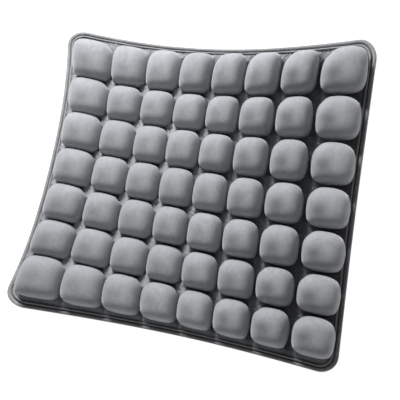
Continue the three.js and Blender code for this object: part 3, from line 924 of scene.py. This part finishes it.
def non_slip_material():
    shader = Shader("non_slip_cloth", **{"Specular IOR Level": 0.35, "Sheen Weight": 0.15})
    cloth = shader.weave(520)
    fuzz = shader.noise(900, detail=4)
    patches = shader.noise(25, detail=2)
    base = shader.ramp(patches, 0.3, 0.7, grey(0.035), grey(0.055))
    thread = shader.ramp(cloth, 0.1, 0.8, grey(0.65), grey(1.0))
    shader.colour(shader.multiply(base, thread))
    shader.rough(shader.spread(fuzz, 0.65, 0.9))
    shader.bump((cloth, 0.3, 0.6), (fuzz, 0.15, 0.3))
    return shader.material


def dot_material():
    shader = Shader("grip_silicone", **{"Specular IOR Level": 0.5, "Coat Weight": 0.1})
    wear = shader.noise(300, detail=3)
    shader.colour(shader.ramp(wear, 0.3, 0.7, grey(0.018), grey(0.035)))
    shader.rough(shader.spread(wear, 0.32, 0.55))
    shader.bump((wear, 0.05, 0.4))
    return shader.material


def film_material():
    shader = Shader("cell_film", **{"Specular IOR Level": 0.5, "Coat Weight": 0.2, "Coat Roughness": 0.25})
    haze = shader.noise(40, detail=3, distortion=0.6)
    grain = shader.noise(700, detail=2)
    shader.colour(shader.ramp(haze, 0.25, 0.75, (0.36, 0.40, 0.43), (0.47, 0.51, 0.54)))
    shader.rough(shader.spread(haze, 0.28, 0.45))
    shader.bump((grain, 0.06, 0.3))
    return shader.material


def plastic_material():
    shader = Shader("valve_plastic", **{"Specular IOR Level": 0.5})
    grain = shader.noise(2600, detail=2)
    handling = shader.noise(120, detail=3)
    shader.colour(shader.ramp(handling, 0.3, 0.7, grey(0.024), grey(0.036)))
    shader.rough(shader.spread(handling, 0.36, 0.5))
    shader.bump((grain, 0.05, 0.5))
    return shader.material


def rubber_material():
    shader = Shader("valve_rubber", **{"Specular IOR Level": 0.4, "Sheen Weight": 0.05})
    dust = shader.noise(160, detail=4)
    grain = shader.noise(1800, detail=2)
    shader.colour(shader.ramp(dust, 0.3, 0.75, grey(0.012), grey(0.024)))
    shader.rough(shader.spread(dust, 0.6, 0.8))
    shader.bump((grain, 0.06, 0.4))
    return shader.material


def steel_material():
    shader = Shader("spring_steel", **{"Metallic": 1.0})
    drawn = shader.noise(900, detail=2, stretch=(1, 1, 6))
    shader.colour(shader.ramp(drawn, 0.3, 0.7, (0.5, 0.5, 0.51), (0.66, 0.66, 0.67)))
    shader.rough(shader.spread(drawn, 0.22, 0.36))
    shader.bump((drawn, 0.02, 0.3))
    return shader.material


def paint(objects, material):
    for piece in objects:
        piece.data.materials.clear()
        piece.data.materials.append(material)


# ---------------------------------------------------------------- stage
def add_floor():
    """White ground that mostly glows, so that the cushion's shadow hardly shows on it."""
    line = np.linspace(-FLOOR_SIZE / 2, FLOOR_SIZE / 2, FLOOR_STEPS + 1)
    x, y = np.meshgrid(line, -line)
    points = np.stack([x, y, np.full(x.shape, FLOOR_Z)], -1).reshape(-1, 3)
    mesh = bpy.data.meshes.new("floor")
    mesh.from_pydata(points.tolist(), [], grid_faces(*x.shape).tolist())
    floor = bpy.data.objects.new("floor", mesh)
    bpy.context.scene.collection.objects.link(floor)
    shader = Shader("floor_white", **{"Base Color": (0.3, 0.3, 0.3, 1), "Roughness": 0.9})
    shader.surface.inputs["Specular IOR Level"].default_value = 0.1
    shader.surface.inputs["Emission Color"].default_value = (1, 1, 1, 1)
    shader.surface.inputs["Emission Strength"].default_value = 0.96
    floor.data.materials.append(shader.material)


def add_light(name, place, aim, size, power):
    data = bpy.data.lights.new(name, "AREA")
    data.shape = "RECTANGLE"
    data.size, data.size_y = size
    data.energy = power
    light = bpy.data.objects.new(name, data)
    light.location = place
    direction = np.array(aim, float) - np.array(place, float)
    light.rotation_euler = Vector(direction).to_track_quat("-Z", "Y").to_euler()
    bpy.context.scene.collection.objects.link(light)


def add_lights():
    add_light("key", (-0.44, 0.94, 0.86), (0.02, 0, 0.03), (0.5, 0.36), 28.5)
    add_light("front", (-0.3, -1.3, 0.8), (0, 0, 0.03), (0.8, 0.5), 2.8)
    add_light("side", (1.2, 0.8, 0.9), (0, 0, 0.03), (0.5, 0.5), 1.0)
    world = bpy.data.worlds.new("world")
    world.use_nodes = True
    world.node_tree.nodes["Background"].inputs["Color"].default_value = (1, 1, 1, 1)
    world.node_tree.nodes["Background"].inputs["Strength"].default_value = 0.09
    bpy.context.scene.world = world
    bpy.context.scene.view_settings.view_transform = "Standard"


def add_camera():
    data = bpy.data.cameras.new("camera")
    data.sensor_width = 36
    data.lens = CAMERA_LENS
    camera = bpy.data.objects.new("camera", data)
    camera.location = CAMERA_PLACE
    camera.rotation_euler = Euler([math.radians(a) for a in CAMERA_TURN], "XYZ")
    bpy.context.scene.collection.objects.link(camera)
    bpy.context.scene.camera = camera


# ---------------------------------------------------------------- put together
add_camera()
add_floor()
add_lights()
cover = add_cover()
air_cells = add_air_cells()
base = add_bottom_cover()
dots = add_grip_dots()
hem, welt = add_rim()
flange = add_valve_flange()
housing = add_valve_body()
seal = add_valve_seal()
plunger = add_plunger()
button = add_button()
cap, ear = add_cap()
lug = add_lug()
spring = add_spring()

paint([cover], velour_material())
paint([hem], hem_material("hem_fabric", 0.38, 0.47))
# The welt takes a lighter copy of the hem's fabric: painted highlight for the light that catches its
# ridge.
paint([welt], hem_material("welt_fabric_painted_highlight", 0.42, 0.5))
paint([base], non_slip_material())
paint([dots], dot_material())
paint([*air_cells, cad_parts["base_film"], flange], film_material())
paint([housing, plunger, button, lug], plastic_material())
paint([seal, cap, ear], rubber_material())
paint([spring], steel_material())
